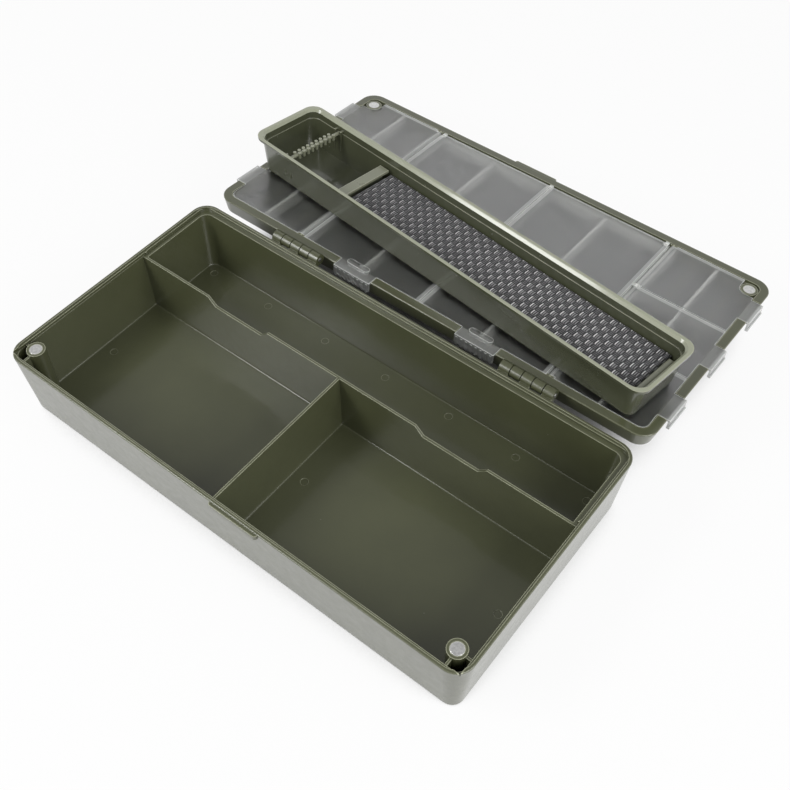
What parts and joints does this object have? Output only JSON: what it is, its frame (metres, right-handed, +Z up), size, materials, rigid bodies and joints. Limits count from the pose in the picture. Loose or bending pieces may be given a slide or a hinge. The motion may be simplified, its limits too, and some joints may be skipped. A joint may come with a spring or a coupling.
{
  "type": "tackle box",
  "caption": "Hinged tackle box with divided base, magnetic catches, shallow lid of small cells under clear hinged covers, and a loose rig tray with a woven pad.",
  "frame": {"origin": "centre of the base tub's underside, on the surface that the box stands on", "axes": "+Z up, +X along the box to the right as seen from its front, +Y from the front to the hinges and the open lid"},
  "size_m": [0.3552, 0.3702, 0.0788],
  "materials": {
    "olive": "satin moulded, fine texture",
    "light_olive": "satin moulded",
    "clear": "clear, polished",
    "pad": "woven, matt",
    "steel": "drawn",
    "magnet": "bright plating"
  },
  "bodies": {
    "base": {"base_tub": "olive", "base_magnet_left": "magnet", "base_magnet_right": "magnet", "hinge_pin_left": "steel", "hinge_pin_right": "steel"},
    "lid": {"lid_shell": "olive", "lid_dividers_left": "olive", "lid_dividers_centre": "olive", "lid_dividers_right": "olive", "lid_magnet_left": "magnet", "lid_magnet_right": "magnet"},
    "cover_left_hinge": {"cover_left_hinge": "clear"},
    "cover_left_middle": {"cover_left_middle": "clear"},
    "cover_left_far": {"cover_left_far": "clear"},
    "cover_centre_left": {"cover_centre_left": "clear"},
    "cover_centre_right": {"cover_centre_right": "clear"},
    "cover_right_hinge": {"cover_right_hinge": "clear"},
    "cover_right_middle": {"cover_right_middle": "clear"},
    "cover_right_far": {"cover_right_far": "clear"},
    "tray": {"tray_shell": "olive", "tray_comb": "light_olive", "tray_strip": "light_olive", "tray_bar": "light_olive"},
    "pad": {"tray_pad": "pad"}
  },
  "joints": [
    {"name": "lid_hinge", "type": "hinge", "parent": "base", "child": "lid", "pos_m": [0, 0.0945, 0.0512], "axis": [-1, 0, 0], "range_deg": [-184.7, 0]},
    {"name": "cover_left_hinge_hinge", "type": "hinge", "parent": "lid", "child": "cover_left_hinge", "pos_m": [-0.1015, 0.13364, 0.04517], "axis": [0, 0.9966, -0.0819], "range_deg": [0, 90]},
    {"name": "cover_left_middle_hinge", "type": "hinge", "parent": "lid", "child": "cover_left_middle", "pos_m": [-0.1015, 0.18845, 0.04067], "axis": [0, 0.9966, -0.0819], "range_deg": [0, 90]},
    {"name": "cover_left_far_hinge", "type": "hinge", "parent": "lid", "child": "cover_left_far", "pos_m": [-0.1015, 0.24327, 0.03616], "axis": [0, 0.9966, -0.0819], "range_deg": [0, 90]},
    {"name": "cover_centre_left_hinge", "type": "hinge", "parent": "lid", "child": "cover_centre_left", "pos_m": [-0.05, 0.26858, 0.03408], "axis": [-1, 0, 0], "range_deg": [0, 95]},
    {"name": "cover_centre_right_hinge", "type": "hinge", "parent": "lid", "child": "cover_centre_right", "pos_m": [0.05, 0.26858, 0.03408], "axis": [-1, 0, 0], "range_deg": [0, 95]},
    {"name": "cover_right_hinge_hinge", "type": "hinge", "parent": "lid", "child": "cover_right_hinge", "pos_m": [0.1015, 0.13364, 0.04517], "axis": [0, -0.9966, 0.0819], "range_deg": [0, 90]},
    {"name": "cover_right_middle_hinge", "type": "hinge", "parent": "lid", "child": "cover_right_middle", "pos_m": [0.1015, 0.18845, 0.04067], "axis": [0, -0.9966, 0.0819], "range_deg": [0, 90]},
    {"name": "cover_right_far_hinge", "type": "hinge", "parent": "lid", "child": "cover_right_far", "pos_m": [0.1015, 0.24327, 0.03616], "axis": [0, -0.9966, 0.0819], "range_deg": [0, 90]},
    {"name": "tray_carry", "type": "hinge", "parent": "cover_centre_left", "child": "tray", "pos_m": [0, 0.261, 0.0627], "axis": [-1, 0, 0], "range_deg": [0, 180]},
    {"name": "pad_lift", "type": "slide", "parent": "tray", "child": "pad", "axis": [0, 0.0819, 0.9966], "range_m": [0, 0.04]}
  ],
  "couplings": [
    {"joint": "cover_centre_right_hinge", "follows": "cover_centre_left_hinge", "ratio": 1},
    {"joint": "cover_left_hinge_hinge", "follows": "cover_centre_left_hinge", "ratio": 0.947},
    {"joint": "cover_left_middle_hinge", "follows": "cover_centre_left_hinge", "ratio": 0.947},
    {"joint": "cover_right_hinge_hinge", "follows": "cover_centre_left_hinge", "ratio": 0.947},
    {"joint": "cover_right_middle_hinge", "follows": "cover_centre_left_hinge", "ratio": 0.947},
    {"joint": "tray_carry", "follows": "lid_hinge", "ratio": -0.9745}
  ]
}
